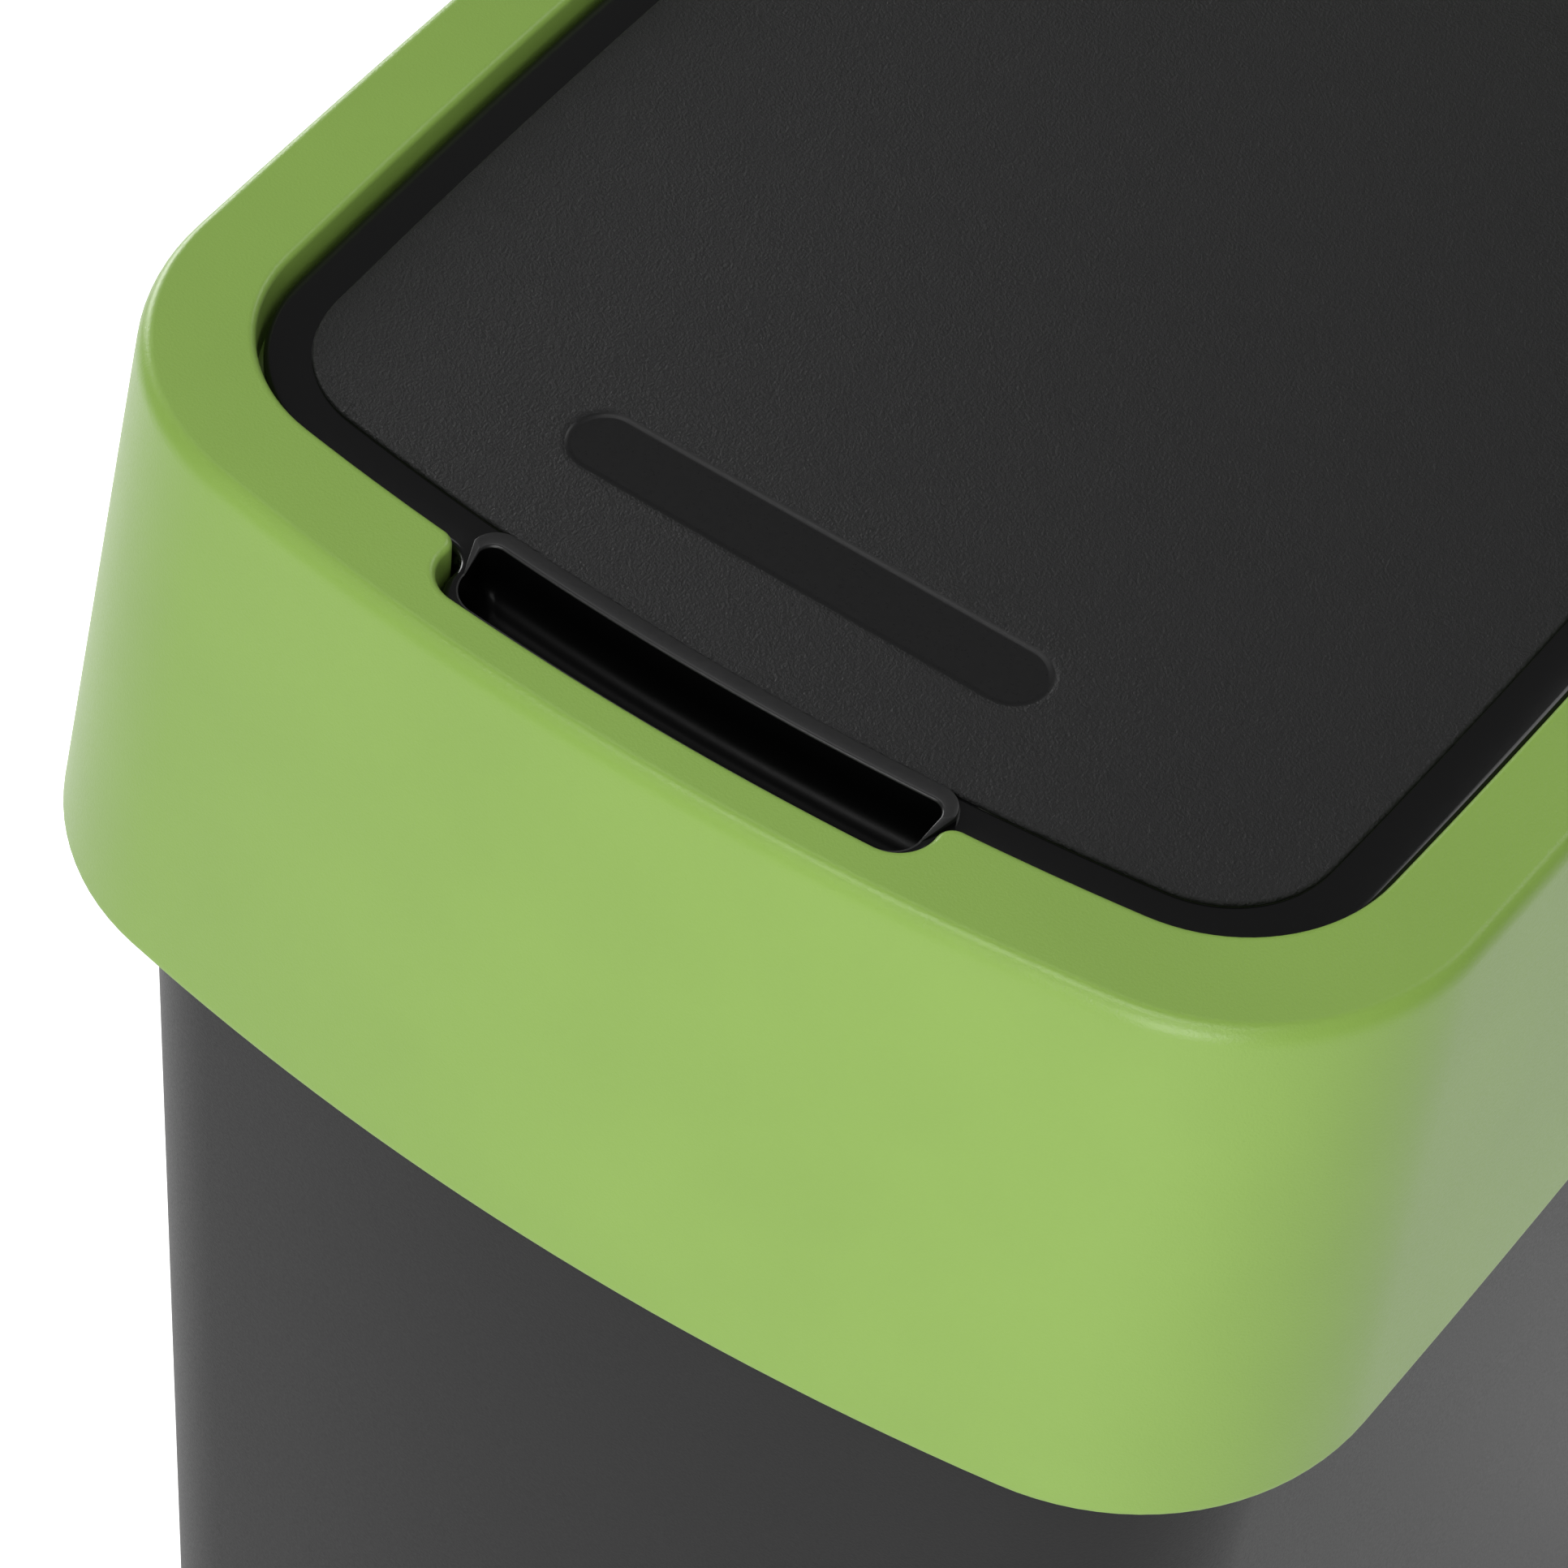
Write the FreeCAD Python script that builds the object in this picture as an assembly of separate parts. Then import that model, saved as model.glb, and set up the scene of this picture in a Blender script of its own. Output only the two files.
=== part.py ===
import FreeCAD, Part
import math
import os
from dataclasses import dataclass, replace

from FreeCAD import Vector

# Flip-lid kitchen bin: an open-topped bucket, a wide collar that lifts off it,
# and a recessed lid on two hinge pins in the collar. Millimetres, front at -Y,
# origin on the floor under the middle of the bin.

# Overall sizes, taken at the bottom edge of the collar's skirt and at its top face
bin_width = 260.0
bin_depth = 340.0
bin_height = 470.0
side_bow = 4.5

# Collar: skirt
collar_height = 103.0
skirt_wall = 2.6
skirt_front_bow = 17.0
skirt_back_bow = 8.0
skirt_front_radius = 48.5
skirt_back_radius = 46.5
skirt_side_flare = 6.6
skirt_front_flare = 20.4
skirt_back_flare = 13.0

# Collar: flat rim and the opening in it
rim_thickness = 3.0
rim_front_radius = 45.0
rim_back_radius = 43.0
rim_edge_radius = 3.0
rim_side_width = 16.4
rim_front_width = 16.0
rim_back_width = 24.0
opening_front_bow = 11.0
opening_back_bow = 4.0
opening_front_radius = 30.2
opening_back_radius = 26.0
opening_edge = 0.8
lip_wall = 2.2

# Finger notch in the front of the opening
notch_half_width = 46.5
notch_depth = 11.6
notch_corner_radius = 8.0
notch_tip_radius = 2.5

# Ledge that the closed lid rests on
ledge_width = 4.0
ledge_thickness = 2.2
ledge_notch_margin = 4.0
ledge_hinge_margin = 16.0

# Ribs inside the collar that stand on the bucket's rim
rib_rows = 4
rib_spacing = 42.0
rib_thickness = 2.0
rib_tongue_depth = 12.0

# Bucket
bucket_rim_depth = 85.0
bucket_wall = 2.5
bucket_side_overhang = 14.7
bucket_front_overhang = 12.0
bucket_back_overhang = 12.0
bucket_taper = 4.2
bucket_front_bow = 16.0
bucket_back_bow = 6.0
bucket_front_radius = 38.0
bucket_back_radius = 36.0
bucket_base_front_radius = 35.0
bucket_base_back_radius = 33.0
bucket_rim_flange = 3.0
bucket_rim_thickness = 3.0
bucket_rim_lip = 1.8
bucket_rim_drop = 8.0
bucket_floor = 2.5
bucket_floor_radius = 6.0
bucket_base_radius = 8.0
foot_width = 8.0
foot_height = 4.0

# Lid
lid_recess = 4.6
lid_plate = 2.2
lid_skirt = 6.0
lid_skirt_wall = 2.0
lid_edge = 1.2
panel_inset = 9.4
panel_rise = 0.8
panel_edge = 0.6
pad_half_length = 46.5
pad_half_width = 7.8
pad_depth = 0.8
pad_slope = 1.8
pad_setback = 36.0
pad_offset = -3.5
lid_rib_thickness = 1.8
lid_rib_height = 3.6
lid_rib_spacing = 44.0
lid_rib_setback = 62.0

# Finger scoop and its bead at the front of the lid
scoop_depth = 9.5
scoop_wall = 1.8
scoop_reach = 5.0
scoop_corner_radius = 5.5
scoop_floor_radius = 5.0
bead_width = 3.4
bead_rise = 1.9
bead_edge_radius = 1.5
bead_end = 2.6

# Hinge
hinge_setback = 34.0
hinge_drop = 6.0
hinge_pin_radius = 2.5
hinge_pin_head_radius = 3.4
hinge_pin_head = 2.4
hinge_pin_tail = 1.0
ear_radius = 6.5
ear_thickness = 4.0
cheek_radius = 8.0
cheek_thickness = 4.0
stop_reach = 20.0
stop_radius = 3.0
stop_length = 9.0
stop_margin = 2.0
lid_open_angle = 100.0

# Clearances, the overrun of every cut, how near an edge counts as being at a place,
# and the flats that make up a large rounding
lid_gap = 1.2
seat_clearance = 0.3
press_clearance = 0.02
running_clearance = 0.08
head_clearance = 0.5
locating_clearance = 0.8
overrun = 5.0
place_tolerance = 0.01
rounding_steps = 3

# Heights worked out from the sizes above
skirt_bottom = bin_height - collar_height
lid_top = bin_height - lid_recess
lid_bottom = lid_top - lid_skirt
ledge_top = lid_bottom - seat_clearance
ledge_bottom = ledge_top - ledge_thickness
bucket_height = bin_height - bucket_rim_depth
rib_bottom = bucket_height + seat_clearance


@dataclass
class Outline:
    """A rounded rectangle with bowed sides: four large arcs joined by four corner arcs."""

    half: float
    front: float
    back: float
    front_arc: float
    back_arc: float
    side_arc: float
    front_radius: float
    back_radius: float

    def grown(self, by):
        """The parallel outline, outside this one by a distance."""
        return Outline(
            self.half + by,
            self.front - by,
            self.back + by,
            self.front_arc + by,
            self.back_arc + by,
            self.side_arc + by,
            self.front_radius + by,
            self.back_radius + by,
        )

    def centres(self):
        """Centres of the front, right-hand and back arcs."""
        middle = (self.front + self.back) / 2
        return (
            Vector(0, self.front + self.front_arc, 0),
            Vector(self.half - self.side_arc, middle, 0),
            Vector(0, self.back - self.back_arc, 0),
        )

    def half_at(self, y):
        """Half the width between the side arcs at a depth."""
        centre = self.centres()[1]
        return centre.x + math.sqrt(self.side_arc**2 - (y - centre.y) ** 2)

    def wire(self, z):
        """The outline as one closed wire of eight tangent arcs."""
        front, side, back = self.centres()
        low, low_mid, low_side = corner(front, self.front_arc, side, self.side_arc, self.front_radius, -1)
        high, high_mid, high_side = corner(back, self.back_arc, side, self.side_arc, self.back_radius, 1)
        right = Vector(self.half, side.y, 0)
        points = [
            (mirrored(low), Vector(0, self.front, 0), low),
            (low, low_mid, low_side),
            (low_side, right, high_side),
            (high_side, high_mid, high),
            (high, Vector(0, self.back, 0), mirrored(high)),
            (mirrored(high), mirrored(high_mid), mirrored(high_side)),
            (mirrored(high_side), mirrored(right), mirrored(low_side)),
            (mirrored(low_side), mirrored(low_mid), mirrored(low)),
        ]
        loop = Part.Wire([Part.Arc(*three).toShape() for three in points])
        loop.translate(Vector(0, 0, z))
        return loop


def mirrored(point):
    return Vector(-point.x, point.y, point.z)


def bow_arc(half_chord, bow):
    """Radius of an arc that stands out from its chord by a bow."""
    return (half_chord**2 + bow**2) / (2 * bow)


def corner(end, end_arc, side, side_arc, radius, sign):
    """Where a corner arc meets the end arc and the side arc, with its middle between them."""
    reach_end = end_arc - radius
    reach_side = side_arc - radius
    between = side - end
    span = between.Length
    along = (reach_end**2 - reach_side**2 + span**2) / (2 * span)
    across = math.sqrt(reach_end**2 - along**2)
    unit = between * (1 / span)
    normal = Vector(-unit.y, unit.x, 0)
    picks = [end + unit * along + normal * across, end + unit * along - normal * across]
    centre = max(picks, key=lambda p: sign * p.y)
    to_end = (centre - end).normalize()
    to_side = (centre - side).normalize()
    out = (to_end + to_side).normalize()
    return end + to_end * end_arc, centre + out * radius, side + to_side * side_arc


def bowed(half, front, back, bow_front, bow_back, radius_front, radius_back):
    """An outline from its sizes and the bows of its front, back and sides."""
    return Outline(
        half,
        front,
        back,
        bow_arc(half, bow_front),
        bow_arc(half, bow_back),
        bow_arc((back - front) / 2, side_bow),
        radius_front,
        radius_back,
    )


def between(low, high, share):
    """The outline at a share of the way from one outline to another."""
    mixed = {}
    for name in low.__dataclass_fields__:
        start = getattr(low, name)
        mixed[name] = start + (getattr(high, name) - start) * share
    return Outline(**mixed)


def prism(outline, bottom, top):
    """An outline carried straight up."""
    return Part.Face(outline.wire(bottom)).extrude(Vector(0, 0, top - bottom))


def tapered(low, bottom, high, top):
    """A solid between two outlines at two heights."""
    return Part.makeLoft([low.wire(bottom), high.wire(top)], True, True)


def stacked(sections):
    """A solid through outlines at a rising row of heights."""
    return Part.makeLoft([outline.wire(z) for outline, z in sections], True, True)


def rounding(far, near, height, radius):
    """Sections of a rounded edge from the wall round to the flat, each with its distance from the flat.

    The wall runs from the near outline, at the flat, to the far outline, a height away from it.
    """
    sections = []
    for step in range(rounding_steps + 1):
        angle = math.pi / 2 * step / rounding_steps
        distance = radius * (1 - math.sin(angle))
        outline = between(near, far, distance / height)
        sections.append((outline.grown(-radius * (1 - math.cos(angle))), distance))
    return sections


def slab(low_corner, high_corner):
    """A block between two corners, used to trim other shapes."""
    size = high_corner - low_corner
    return Part.makeBox(size.x, size.y, size.z, low_corner)


def edges_at(shape, z):
    """The edges of a shape that lie flat at one height."""
    found = []
    for edge in shape.Edges:
        box = edge.BoundBox
        if max(abs(box.ZMin - z), abs(box.ZMax - z)) < place_tolerance:
            found.append(edge)
    return found


def upright_edges(shape, half_width):
    """The upright edges of a shape at a distance either side of the middle."""
    found = []
    for edge in shape.Edges:
        box = edge.BoundBox
        upright = box.ZLength > max(box.XLength, box.YLength)
        if upright and abs(abs(edge.CenterOfMass.x) - half_width) < place_tolerance:
            found.append(edge)
    return found


# Outlines of the collar and the bucket
skirt_outline = bowed(
    bin_width / 2,
    -bin_depth / 2,
    bin_depth / 2,
    skirt_front_bow,
    skirt_back_bow,
    skirt_front_radius,
    skirt_back_radius,
)
rim_outline = replace(
    skirt_outline.grown(-skirt_side_flare),
    front=-bin_depth / 2 + skirt_front_flare,
    back=bin_depth / 2 - skirt_back_flare,
    front_radius=rim_front_radius,
    back_radius=rim_back_radius,
)
opening_outline = bowed(
    rim_outline.half - rim_side_width,
    rim_outline.front + rim_front_width,
    rim_outline.back - rim_back_width,
    opening_front_bow,
    opening_back_bow,
    opening_front_radius,
    opening_back_radius,
)
bucket_rim_outline = bowed(
    bin_width / 2 - bucket_side_overhang,
    -bin_depth / 2 + bucket_front_overhang,
    bin_depth / 2 - bucket_back_overhang,
    bucket_front_bow,
    bucket_back_bow,
    bucket_front_radius,
    bucket_back_radius,
)
bucket_base_outline = replace(
    bucket_rim_outline.grown(-bucket_taper),
    front_radius=bucket_base_front_radius,
    back_radius=bucket_base_back_radius,
)

# Hinge axis, and the wall of the opening beside it
hinge_y = opening_outline.back - hinge_setback
hinge_z = lid_top - hinge_drop
hinge_wall = opening_outline.half_at(hinge_y)


def band_face(half, front_arc, back_arc, radius_front, radius_back, z):
    """A band along the front of the opening, between two arcs about the same centre."""
    centre = opening_outline.centres()[0]

    def bend(arc, radius, sign):
        reach = arc - sign * radius
        middle = Vector(half - radius, centre.y - math.sqrt(reach**2 - (half - radius) ** 2), 0)
        to_arc = (middle - centre).normalize()
        turn = (to_arc * sign + Vector(1, 0, 0)).normalize()
        return centre + to_arc * arc, middle + turn * radius, Vector(half, middle.y, 0)

    low, low_mid, low_side = bend(front_arc, radius_front, 1)
    high, high_mid, high_side = bend(back_arc, radius_back, -1)
    edges = [
        Part.Arc(mirrored(low), Vector(0, centre.y - front_arc, 0), low).toShape(),
        Part.Arc(low, low_mid, low_side).toShape(),
        Part.LineSegment(low_side, high_side).toShape(),
        Part.Arc(high_side, high_mid, high).toShape(),
        Part.Arc(high, Vector(0, centre.y - back_arc, 0), mirrored(high)).toShape(),
        Part.Arc(mirrored(high), mirrored(high_mid), mirrored(high_side)).toShape(),
        Part.LineSegment(mirrored(high_side), mirrored(low_side)).toShape(),
        Part.Arc(mirrored(low_side), mirrored(low_mid), mirrored(low)).toShape(),
    ]
    loop = Part.Wire(edges)
    loop.translate(Vector(0, 0, z))
    return Part.Face(loop)


def mouth(inset, bottom, top):
    """The opening with its finger notch, carried straight up, inside the real one by an inset."""
    outline = opening_outline.grown(-inset)
    half = notch_half_width - inset
    front_arc = opening_outline.front_arc + notch_depth - inset
    back_arc = opening_outline.front_arc - notch_depth - notch_corner_radius
    radius = notch_corner_radius - inset
    notch = band_face(half, front_arc, back_arc, radius, notch_corner_radius, bottom)
    solid = prism(outline, bottom, top)
    solid = solid.fuse(notch.extrude(Vector(0, 0, top - bottom))).removeSplitter()
    tips = [e for e in upright_edges(solid, half) if is_hollow(solid, e)]
    return solid.makeFillet(notch_tip_radius + inset, tips)


def is_hollow(solid, edge):
    """Whether an upright edge is a re-entrant one, with material on both sides just outside it."""
    point = edge.CenterOfMass
    step = Vector(math.copysign(notch_tip_radius, point.x), notch_tip_radius, 0)
    back = Vector(-step.x, step.y, 0)
    front = Vector(-step.x, -step.y, 0)
    return all(solid.isInside(point + way, place_tolerance, False) for way in (step, back, front))


def hinge_lobe(radius, bottom, top, low_x, high_x):
    """An upright plate round the hinge axis, between two distances from the middle."""
    length = high_x - low_x
    lobe = Part.makeCylinder(radius, length, Vector(low_x, hinge_y, hinge_z), Vector(1, 0, 0))
    corner_low = Vector(low_x, hinge_y - radius, bottom)
    corner_high = Vector(high_x, hinge_y + radius, top)
    return lobe.fuse(slab(corner_low, corner_high)).removeSplitter()


def both_sides(solid):
    """A solid and its mirror image on the left."""
    return [solid, solid.mirror(Vector(0, 0, 0), Vector(1, 0, 0))]


def hinge_bore(clearance):
    """The bore for a hinge pin, through everything on the right-hand side."""
    start = Vector(hinge_wall - ear_thickness - ear_radius, hinge_y, hinge_z)
    length = ear_thickness + ear_radius + cheek_thickness + overrun
    return Part.makeCylinder(hinge_pin_radius + clearance, length, start, Vector(1, 0, 0))


def make_bucket():
    """The open bucket: tapered walls, turned-out rim and a floor on a foot ring."""
    base = rounding(bucket_rim_outline, bucket_base_outline, bucket_height, bucket_base_radius)
    outer = stacked([*reversed(base), (bucket_rim_outline, bucket_height)])
    flange_outline = bucket_rim_outline.grown(bucket_rim_flange)
    flange_bottom = bucket_height - bucket_rim_drop
    flange = prism(flange_outline, flange_bottom, bucket_height)
    pocket = prism(
        flange_outline.grown(-bucket_rim_lip), flange_bottom - overrun, bucket_height - bucket_rim_thickness
    )
    solid = outer.fuse(flange.cut(pocket))
    floor_z = foot_height + bucket_floor
    share = floor_z / bucket_height
    above = (bucket_height + overrun) / bucket_height
    low = between(bucket_base_outline, bucket_rim_outline, share).grown(-bucket_wall)
    high = between(bucket_base_outline, bucket_rim_outline, above).grown(-bucket_wall)
    depth = bucket_height + overrun - floor_z
    floor = rounding(high, low, depth, bucket_floor_radius)
    sections = [(outline, floor_z + rise) for outline, rise in reversed(floor)]
    hollow = stacked([*sections, (high, bucket_height + overrun)])
    recess = prism(bucket_base_outline.grown(-bucket_base_radius - foot_width), -overrun, foot_height)
    return solid.cut(hollow).cut(recess).removeSplitter()


def make_collar():
    """The collar: flared skirt, flat rim, opening with a turned-down lip, ledge, ribs and hinge cheeks."""
    soft = rounding(skirt_outline, rim_outline, collar_height, rim_edge_radius)
    sections = [(outline, bin_height - drop) for outline, drop in soft]
    outer = stacked([(skirt_outline, skirt_bottom), *sections])
    solid = outer.cut(mouth(0, skirt_bottom - overrun, bin_height + overrun))
    solid = solid.makeChamfer(opening_edge, hole_edges(solid))
    under_rim = bin_height - rim_thickness
    high = between(rim_outline, skirt_outline, rim_thickness / collar_height).grown(-skirt_wall)
    hollow = tapered(skirt_outline.grown(-skirt_wall), skirt_bottom, high, under_rim)
    lip = mouth(-lip_wall, ledge_bottom, under_rim).cut(mouth(0, ledge_bottom - overrun, bin_height))
    solid = solid.cut(hollow).fuse([lip, make_ledge(), make_ribs(hollow)])
    for cheek in make_cheeks():
        solid = solid.fuse(cheek)
    for bore in both_sides(hinge_bore(press_clearance)):
        solid = solid.cut(bore)
    return solid.removeSplitter()


def hole_edges(solid):
    """The edges round the hole in a solid's flat top."""
    top = max(solid.Faces, key=lambda face: face.BoundBox.ZMin)
    return [edge for wire in top.Wires if not wire.isSame(top.OuterWire) for edge in wire.Edges]


def make_ledge():
    """The ledge under the lid's edge, along the front and sides."""
    ring = prism(opening_outline.grown(lip_wall), ledge_bottom, ledge_top)
    ring = ring.cut(prism(opening_outline.grown(-ledge_width), ledge_bottom - overrun, ledge_top + overrun))
    width = bin_width / 2
    back_half = slab(
        Vector(-width, hinge_y - ledge_hinge_margin, ledge_bottom - overrun),
        Vector(width, bin_depth / 2, ledge_top + overrun),
    )
    reach = notch_half_width + ledge_notch_margin
    notch_zone = slab(
        Vector(-reach, -bin_depth / 2, ledge_bottom - overrun),
        Vector(reach, 0, ledge_top + overrun),
    )
    return ring.cut(back_half).cut(notch_zone)


def make_ribs(hollow):
    """Upright ribs inside all four walls, standing on the bucket's rim with a tongue inside it."""
    tongue_bottom = bucket_height - rib_tongue_depth
    top = bin_height - rim_thickness / 2
    plates = []
    for row in range(rib_rows):
        place = (row - (rib_rows - 1) / 2) * rib_spacing
        low = place - rib_thickness / 2
        high = place + rib_thickness / 2
        plates.append(slab(Vector(-bin_width / 2, low, tongue_bottom), Vector(bin_width / 2, high, top)))
        plates.append(slab(Vector(low, -bin_depth / 2, tongue_bottom), Vector(high, bin_depth / 2, top)))
    pattern = plates[0].fuse(plates[1:])
    above = slab(Vector(-bin_width, -bin_depth, rib_bottom), Vector(bin_width, bin_depth, bin_height))
    room = hollow.common(above)
    inside = bucket_rim_outline.grown(-bucket_wall - locating_clearance)
    tongue = prism(inside, tongue_bottom, rib_bottom)
    room = room.fuse(tongue)
    clear = mouth(-lip_wall, tongue_bottom - overrun, bin_height)
    return pattern.common(room).cut(clear)


def make_cheeks():
    """The hinge cheeks that carry the pins, each with a peg that stops the open lid."""
    angle = math.radians(lid_open_angle)
    drop = stop_radius + seat_clearance
    peg_y = hinge_y + stop_reach * math.cos(angle) - drop * math.sin(angle)
    peg_z = hinge_z - stop_reach * math.sin(angle) - drop * math.cos(angle)
    bottom = peg_z - stop_radius - stop_margin
    top = bin_height - rim_thickness / 2
    plate = hinge_lobe(cheek_radius, bottom, top, hinge_wall - cheek_radius, hinge_wall + cheek_radius)
    foot = Vector(hinge_wall - stop_length, peg_y, peg_z)
    peg = Part.makeCylinder(stop_radius, stop_length + cheek_thickness / 2, foot, Vector(1, 0, 0))
    heel = slab(
        Vector(hinge_wall - cheek_radius, peg_y - stop_radius - stop_margin, bottom),
        Vector(hinge_wall + cheek_radius, hinge_y, hinge_z),
    )
    band = prism(opening_outline.grown(cheek_thickness), bottom - overrun, top)
    band = band.cut(prism(opening_outline, bottom - overrun - overrun, bin_height + overrun))
    cheek = plate.fuse(heel).common(band).fuse(peg)
    return both_sides(cheek)


def scoop_solid(grow, bottom, top):
    """The finger scoop's hollow, or its outside when grown by the wall."""
    front = opening_outline.front_arc + notch_depth - lid_gap - scoop_wall
    face = band_face(
        notch_half_width - lid_gap - scoop_wall + grow,
        front + grow,
        opening_outline.front_arc - scoop_reach - grow,
        scoop_corner_radius + grow,
        scoop_corner_radius + grow,
        bottom,
    )
    return face.extrude(Vector(0, 0, top - bottom))


def make_bead():
    """The raised bead along the scoop's rear edge, which the fingers lift."""
    top = lid_top + bead_rise
    bead = scoop_solid(bead_width, lid_top - lid_plate, top)
    bead = bead.cut(scoop_solid(0, lid_bottom - overrun, top + overrun))
    bead = bead.makeFillet(bead_edge_radius, edges_at(bead, top))
    ahead = slab(
        Vector(-bin_width, -bin_depth, lid_bottom),
        Vector(bin_width, opening_outline.front + bead_end, top + overrun),
    )
    return bead.cut(ahead).common(mouth(lid_gap, lid_bottom, top + overrun))


def make_pad():
    """The shallow pad sunk in the panel, with sloping sides and round ends."""
    top = lid_top + panel_rise
    middle = Vector(pad_offset, opening_outline.front + pad_setback, 0)
    wires = []
    for half_width, z in ((pad_half_width - pad_slope, top - pad_depth), (pad_half_width, top)):
        reach = pad_half_length - pad_half_width
        right = middle + Vector(reach, 0, z)
        left = middle + Vector(-reach, 0, z)
        across = Vector(0, half_width, 0)
        along = Vector(half_width, 0, 0)
        wires.append(
            Part.Wire(
                [
                    Part.LineSegment(left - across, right - across).toShape(),
                    Part.Arc(right - across, right + along, right + across).toShape(),
                    Part.LineSegment(right + across, left + across).toShape(),
                    Part.Arc(left + across, left - along, left - across).toShape(),
                ]
            )
        )
    return Part.makeLoft(wires, True, True)


def make_lid_ribs():
    """Stiffening ribs under the lid, from front to back and across."""
    under = lid_top - lid_plate
    inside = opening_outline.grown(-lid_gap - lid_skirt_wall / 2)
    room = prism(inside, under - lid_rib_height, under + panel_rise)
    front = opening_outline.front + lid_rib_setback
    back = hinge_y - ear_radius
    ribs = []
    for place in (-1, 0, 1):
        x = place * lid_rib_spacing
        ribs.append(
            slab(
                Vector(x - lid_rib_thickness / 2, front, under - lid_rib_height),
                Vector(x + lid_rib_thickness / 2, back, under + panel_rise / 2),
            )
        )
    for y in (front, (front + back) / 2, back):
        ribs.append(
            slab(
                Vector(-bin_width, y - lid_rib_thickness / 2, under - lid_rib_height),
                Vector(bin_width, y + lid_rib_thickness / 2, under + panel_rise / 2),
            )
        )
    return ribs[0].fuse(ribs[1:]).common(room)


def make_lid():
    """The lid: bordered plate with a raised panel, skirt, finger scoop, bead, pad and hinge ears."""
    solid = mouth(lid_gap, lid_bottom, lid_top)
    solid = solid.makeChamfer(lid_edge, edges_at(solid, lid_top))
    under = lid_top - lid_plate
    solid = solid.cut(mouth(lid_gap + lid_skirt_wall, lid_bottom - overrun, under))
    panel = prism(opening_outline.grown(-panel_inset), lid_top - lid_plate / 2, lid_top + panel_rise)
    panel = panel.makeChamfer(panel_edge, edges_at(panel, lid_top + panel_rise))
    solid = solid.fuse([panel, make_lid_ribs()]).cut(make_pad())
    scoop_bottom = lid_top - scoop_depth
    outside = scoop_solid(scoop_wall, scoop_bottom - scoop_wall, lid_top - lid_plate / 2)
    outside = outside.makeChamfer(scoop_floor_radius, edges_at(outside, scoop_bottom - scoop_wall))
    inside = scoop_solid(0, scoop_bottom, bin_height + overrun)
    inside = inside.makeFillet(scoop_floor_radius, edges_at(inside, scoop_bottom))
    solid = solid.fuse(outside).cut(inside)
    solid = solid.fuse(make_bead())
    ear_start = hinge_wall - ear_radius - ear_thickness
    ear = hinge_lobe(ear_radius, hinge_z, under + lid_plate / 2, ear_start, bin_width / 2)
    edge = prism(opening_outline.grown(-lid_gap), lid_bottom - ear_radius, lid_top)
    edge = edge.cut(prism(opening_outline.grown(-lid_gap - ear_thickness), 0, bin_height))
    for lobe in both_sides(ear.common(edge)):
        solid = solid.fuse(lobe)
    for bore in both_sides(hinge_bore(running_clearance)):
        solid = solid.cut(bore)
    return solid.removeSplitter()


def make_pin():
    """The right-hand hinge pin: a headed pin pushed in from inside the bin."""
    shoulder = hinge_wall - lid_gap - ear_thickness - head_clearance
    end = hinge_wall + cheek_thickness + hinge_pin_tail
    profile = [
        Vector(shoulder - hinge_pin_head, hinge_y, hinge_z),
        Vector(shoulder - hinge_pin_head, hinge_y, hinge_z + hinge_pin_head_radius),
        Vector(shoulder, hinge_y, hinge_z + hinge_pin_head_radius),
        Vector(shoulder, hinge_y, hinge_z + hinge_pin_radius),
        Vector(end, hinge_y, hinge_z + hinge_pin_radius),
        Vector(end, hinge_y, hinge_z),
    ]
    face = Part.Face(Part.makePolygon(profile + profile[:1]))
    return face.revolve(profile[0], Vector(1, 0, 0), 360)


def build():
    """Every piece of the bin by name."""
    right_pin, left_pin = both_sides(make_pin())
    return {
        "bin_body": make_bucket(),
        "collar": make_collar(),
        "lid": make_lid(),
        "hinge_pin_left": left_pin,
        "hinge_pin_right": right_pin,
    }


os.makedirs("parts", exist_ok=True)
for name, shape in build().items():
    print(name, shape.ShapeType, len(shape.Solids), shape.isValid(), round(shape.Volume))
    shape.exportStep("parts/" + name + ".step")
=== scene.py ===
import itertools
import math

import bmesh
import bpy
from mathutils import Matrix, Vector


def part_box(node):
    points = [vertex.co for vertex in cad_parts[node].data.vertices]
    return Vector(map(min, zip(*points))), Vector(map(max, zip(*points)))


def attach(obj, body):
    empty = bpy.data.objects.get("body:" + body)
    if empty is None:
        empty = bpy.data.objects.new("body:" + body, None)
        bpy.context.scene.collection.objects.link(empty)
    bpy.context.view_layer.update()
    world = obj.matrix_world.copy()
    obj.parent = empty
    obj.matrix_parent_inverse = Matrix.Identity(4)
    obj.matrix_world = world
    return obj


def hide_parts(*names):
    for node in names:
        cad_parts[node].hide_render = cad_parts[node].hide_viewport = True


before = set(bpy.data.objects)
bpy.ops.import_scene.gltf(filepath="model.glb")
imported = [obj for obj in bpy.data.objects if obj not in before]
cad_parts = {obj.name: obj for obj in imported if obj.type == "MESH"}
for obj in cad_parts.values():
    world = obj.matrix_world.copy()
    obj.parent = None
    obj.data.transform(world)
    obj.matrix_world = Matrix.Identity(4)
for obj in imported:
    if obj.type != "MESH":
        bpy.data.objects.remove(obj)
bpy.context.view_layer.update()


# The bucket: an open tapered container, injection-moulded in dark grey polypropylene.
# Its rim is turned out and down for stiffness, and its floor stands on a raised foot ring.
# Like the collar and the lid it is drawn in millimetres, and scaled to metres when its mesh is finished.
metre = 1000.0
bucket_top = (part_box("bin_body")[1] * metre)[2]
collar_low, collar_high = [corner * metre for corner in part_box("collar")]
bin_half = collar_high[0]
bin_front = collar_low[1]
bin_back = collar_high[1]
bin_top = collar_high[2]
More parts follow.
